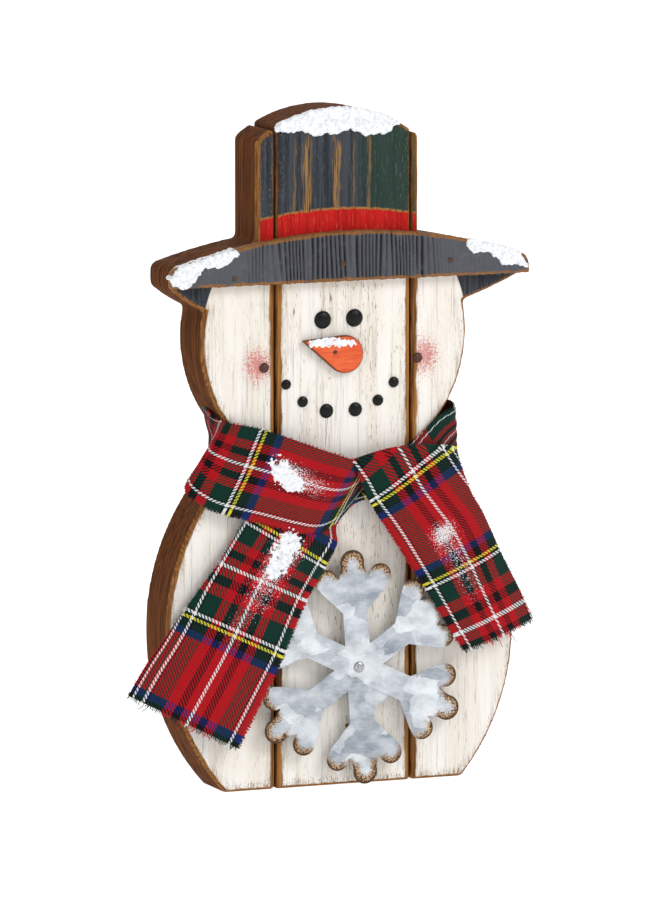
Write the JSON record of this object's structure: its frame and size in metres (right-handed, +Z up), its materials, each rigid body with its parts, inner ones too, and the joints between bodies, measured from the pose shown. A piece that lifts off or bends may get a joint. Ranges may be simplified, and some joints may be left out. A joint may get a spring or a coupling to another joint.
{
  "type": "tabletop plank snowman",
  "caption": "Free-standing snowman cut from three upright wooden planks, with a nailed hat brim, domed nail face, cloth scarf and a sheet-metal snowflake that turns on its nail.",
  "frame": {"origin": "middle of the flat resting face, under the centre plank, midway between the planks' front and back faces", "axes": "+Z up the planks, -Y out of the painted front, +X to the viewer's right"},
  "size_m": [0.1925, 0.0465, 0.305],
  "materials": {
    "painted_plank": "distressed whitewash over stained pine, sanded edges",
    "hat_paint": "matt slate paint rubbed back to bare wood",
    "batten_wood": "stained, unpainted",
    "black_enamel": "semi-gloss black",
    "aged_nail": "dull brown, aged",
    "bright_steel": "plain bright wire nail",
    "brass_nail": "dull brass",
    "carrot_paint": "satin orange paint, brushed streaks",
    "galvanised_sheet": "spangled zinc, rusted lobe edges",
    "tartan_cloth": "twill weave tartan, frayed cut edges",
    "snow_paste": "matt granular texture paste"
  },
  "bodies": {
    "figure": {"board_left": "painted_plank", "board_centre": "painted_plank", "board_right": "painted_plank", "hat_brim": "hat_paint", "back_batten_lower": "batten_wood", "back_batten_upper": "batten_wood", "eye_left": "black_enamel", "eye_right": "black_enamel", "cheek_nail_left": "aged_nail", "cheek_nail_right": "aged_nail", "mouth_stud_1": "black_enamel", "mouth_stud_2": "black_enamel", "mouth_stud_3": "black_enamel", "mouth_stud_4": "black_enamel", "mouth_stud_5": "black_enamel", "mouth_stud_6": "black_enamel", "board_nail": "brass_nail", "brim_brads": "aged_nail", "batten_brads": "bright_steel", "nose": "carrot_paint", "nose_pin": "bright_steel", "flake_nail": "bright_steel", "flake_standoff": "galvanised_sheet", "scarf": "tartan_cloth", "scarf_staple": "bright_steel", "snow_crown": "snow_paste", "snow_brim_left": "snow_paste", "snow_brim_right": "snow_paste", "snow_nose": "snow_paste"},
    "flake": {"snowflake": "galvanised_sheet"}
  },
  "joints": [
    {"name": "flake_spin", "type": "hinge", "parent": "figure", "child": "flake", "pos_m": [0.0041, -0.02065, 0.0541], "axis": [0, 1, 0], "continuous": true}
  ]
}
